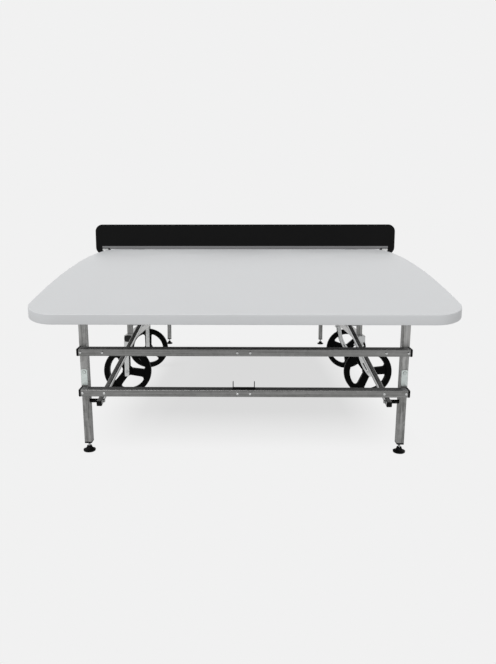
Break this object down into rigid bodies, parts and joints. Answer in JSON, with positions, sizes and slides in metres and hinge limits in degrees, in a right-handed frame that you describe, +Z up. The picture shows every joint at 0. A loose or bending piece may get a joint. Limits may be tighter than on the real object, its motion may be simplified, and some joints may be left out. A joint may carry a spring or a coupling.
{
  "type": "folding ball game table",
  "caption": "Arched ball game table in two halves that fold up over a wheeled middle carriage, with a solid net panel, braced end legs and levelling feet.",
  "frame": {"origin": "on the floor below the middle of the net", "axes": "+X along the net, +Y along the table towards the rear half, +Z up"},
  "size_m": [1.7, 3, 0.9],
  "materials": {
    "board": "fine matt",
    "galvanised_steel": "galvanised, satin",
    "bright_zinc": "bright zinc plated",
    "black_plastic": "moulded, satin",
    "net_black": "fine matt",
    "aluminium": "brushed"
  },
  "bodies": {
    "carriage": {"left_side_beam": "galvanised_steel", "right_side_beam": "galvanised_steel", "left_net_post": "galvanised_steel", "right_net_post": "galvanised_steel", "cross_tubes": "galvanised_steel", "beam_end_caps": "black_plastic", "pivot_pins": "bright_zinc", "front_left_post": "galvanised_steel", "front_right_post": "galvanised_steel", "rear_left_post": "galvanised_steel", "rear_right_post": "galvanised_steel", "front_left_fork": "bright_zinc", "rear_left_fork": "bright_zinc", "fixed_axles": "bright_zinc", "swivel_sockets": "bright_zinc"},
    "front_top": {"front_board": "board", "front_left_runner": "galvanised_steel", "front_right_runner": "galvanised_steel", "front_crossbars": "galvanised_steel"},
    "front_legs": {"front_left_leg": "galvanised_steel", "front_right_leg": "galvanised_steel", "front_upper_rail": "galvanised_steel", "front_lower_rail": "galvanised_steel", "front_end_caps": "black_plastic", "front_rail_bolts": "bright_zinc", "front_stirrup": "galvanised_steel", "front_leg_plates": "bright_zinc"},
    "front_braces": {"front_left_brace": "galvanised_steel", "front_right_brace": "galvanised_steel", "front_brace_fittings": "black_plastic"},
    "front_left_leveller": {"front_left_foot": "black_plastic"},
    "front_right_leveller": {"front_right_foot": "black_plastic"},
    "front_left_roller": {"front_left_wheel": "black_plastic"},
    "front_caster": {"front_right_fork": "bright_zinc", "front_right_axle": "bright_zinc"},
    "front_right_roller": {"front_right_wheel": "black_plastic"},
    "rear_top": {"rear_board": "board", "rear_left_runner": "galvanised_steel", "rear_right_runner": "galvanised_steel", "rear_crossbars": "galvanised_steel"},
    "rear_legs": {"rear_left_leg": "galvanised_steel", "rear_right_leg": "galvanised_steel", "rear_upper_rail": "galvanised_steel", "rear_lower_rail": "galvanised_steel", "rear_end_caps": "black_plastic", "rear_rail_bolts": "bright_zinc", "rear_stirrup": "galvanised_steel", "rear_leg_plates": "bright_zinc"},
    "rear_braces": {"rear_left_brace": "galvanised_steel", "rear_right_brace": "galvanised_steel", "rear_brace_fittings": "black_plastic"},
    "rear_left_leveller": {"rear_left_foot": "black_plastic"},
    "rear_right_leveller": {"rear_right_foot": "black_plastic"},
    "rear_left_roller": {"rear_left_wheel": "black_plastic"},
    "rear_caster": {"rear_right_fork": "bright_zinc", "rear_right_axle": "bright_zinc"},
    "rear_right_roller": {"rear_right_wheel": "black_plastic"},
    "net": {"net_panel": "net_black", "net_rail": "aluminium", "net_clamps": "bright_zinc"}
  },
  "joints": [
    {"name": "front_fold", "type": "hinge", "parent": "carriage", "child": "front_top", "pos_m": [0, -0.345, 0.69], "axis": [-1, 0, 0], "range_deg": [0, 85]},
    {"name": "front_leg_fold", "type": "hinge", "parent": "front_top", "child": "front_legs", "pos_m": [0, -1.262, 0.51966], "axis": [1, 0, 0], "range_deg": [0, 85]},
    {"name": "front_brace_swing", "type": "hinge", "parent": "carriage", "child": "front_braces", "pos_m": [0, -0.345, 0.3775], "axis": [-1, 0, 0], "range_deg": [0, 85]},
    {"name": "front_left_foot_height", "type": "slide", "parent": "front_legs", "child": "front_left_leveller", "axis": [0, 0, -1], "range_m": [0, 0.02]},
    {"name": "front_right_foot_height", "type": "slide", "parent": "front_legs", "child": "front_right_leveller", "axis": [0, 0, -1], "range_m": [0, 0.02]},
    {"name": "front_left_wheel_spin", "type": "hinge", "parent": "carriage", "child": "front_left_roller", "pos_m": [-0.62, -0.345, 0.125], "axis": [0, 1, 0], "continuous": true},
    {"name": "front_caster_swivel", "type": "hinge", "parent": "carriage", "child": "front_caster", "pos_m": [0.602, -0.345, 0.26], "axis": [0, 0, 1], "continuous": true},
    {"name": "front_right_wheel_spin", "type": "hinge", "parent": "front_caster", "child": "front_right_roller", "pos_m": [0.652, -0.345, 0.125], "axis": [0, 1, 0], "continuous": true},
    {"name": "rear_fold", "type": "hinge", "parent": "carriage", "child": "rear_top", "pos_m": [0, 0.345, 0.69], "axis": [1, 0, 0], "range_deg": [0, 85]},
    {"name": "rear_leg_fold", "type": "hinge", "parent": "rear_top", "child": "rear_legs", "pos_m": [0, 1.262, 0.51966], "axis": [-1, 0, 0], "range_deg": [0, 85]},
    {"name": "rear_brace_swing", "type": "hinge", "parent": "carriage", "child": "rear_braces", "pos_m": [0, 0.345, 0.3775], "axis": [1, 0, 0], "range_deg": [0, 85]},
    {"name": "rear_left_foot_height", "type": "slide", "parent": "rear_legs", "child": "rear_left_leveller", "axis": [0, 0, -1], "range_m": [0, 0.02]},
    {"name": "rear_right_foot_height", "type": "slide", "parent": "rear_legs", "child": "rear_right_leveller", "axis": [0, 0, -1], "range_m": [0, 0.02]},
    {"name": "rear_left_wheel_spin", "type": "hinge", "parent": "carriage", "child": "rear_left_roller", "pos_m": [-0.62, 0.345, 0.125], "axis": [0, 1, 0], "continuous": true},
    {"name": "rear_caster_swivel", "type": "hinge", "parent": "carriage", "child": "rear_caster", "pos_m": [0.602, 0.345, 0.26], "axis": [0, 0, 1], "continuous": true},
    {"name": "rear_right_wheel_spin", "type": "hinge", "parent": "rear_caster", "child": "rear_right_roller", "pos_m": [0.652, 0.345, 0.125], "axis": [0, 1, 0], "continuous": true},
    {"name": "net_lift", "type": "slide", "parent": "carriage", "child": "net", "axis": [0, 0, 1], "range_m": [0, 0.16]}
  ],
  "couplings": [
    {"joint": "front_leg_fold", "follows": "front_fold", "ratio": 1},
    {"joint": "front_brace_swing", "follows": "front_fold", "ratio": 1},
    {"joint": "rear_leg_fold", "follows": "rear_fold", "ratio": 1},
    {"joint": "rear_brace_swing", "follows": "rear_fold", "ratio": 1}
  ]
}
